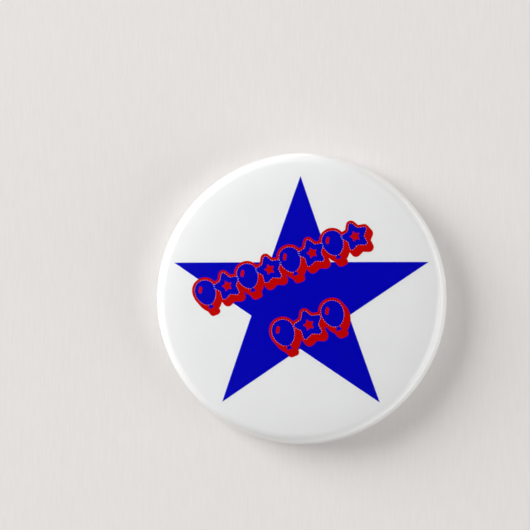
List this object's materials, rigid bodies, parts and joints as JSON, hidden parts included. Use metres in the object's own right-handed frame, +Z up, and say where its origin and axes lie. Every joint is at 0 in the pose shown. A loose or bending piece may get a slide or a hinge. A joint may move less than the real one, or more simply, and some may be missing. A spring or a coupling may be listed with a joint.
{
  "type": "button badge",
  "caption": "Round domed button badge: printed paper under clear film on a tinplate shell, with a stamped metal back, a swinging spring-wire pin and a wire catch.",
  "frame": {"origin": "on the badge's own axis, in the plane that the rolled rim of the back rests on", "axes": "+Y out of the back, towards the wearer; the printed face looks towards -Y; +Z up as worn; +X to the right seen from the front"},
  "size_m": [0.0572, 0.008, 0.0572],
  "materials": {
    "clear_film": "clear glossy polyester film",
    "white_paper": "smooth white coated paper",
    "blue_ink": "deep blue ink printed on the paper",
    "red_ink": "red ink printed on the paper",
    "tinplate": "bright tinplate",
    "back_tinplate": "bright stamped tinplate with a fine upright grain",
    "spring_wire": "bright nickel-plated spring steel wire"
  },
  "bodies": {
    "badge": {"clear_film": "clear_film", "printed_disc": "white_paper", "front_shell": "tinplate", "back_plate": "back_tinplate", "spring_wire": "spring_wire"},
    "pin": {"pin_arm": "spring_wire"}
  },
  "joints": [
    {"name": "pin_swing", "type": "hinge", "parent": "badge", "child": "pin", "pos_m": [-0.0135, -0.0029, 0.007], "axis": [0, 0.8829, 0.4695], "range_deg": [0, 60], "stiffness_Nm_per_rad": 0.002}
  ]
}
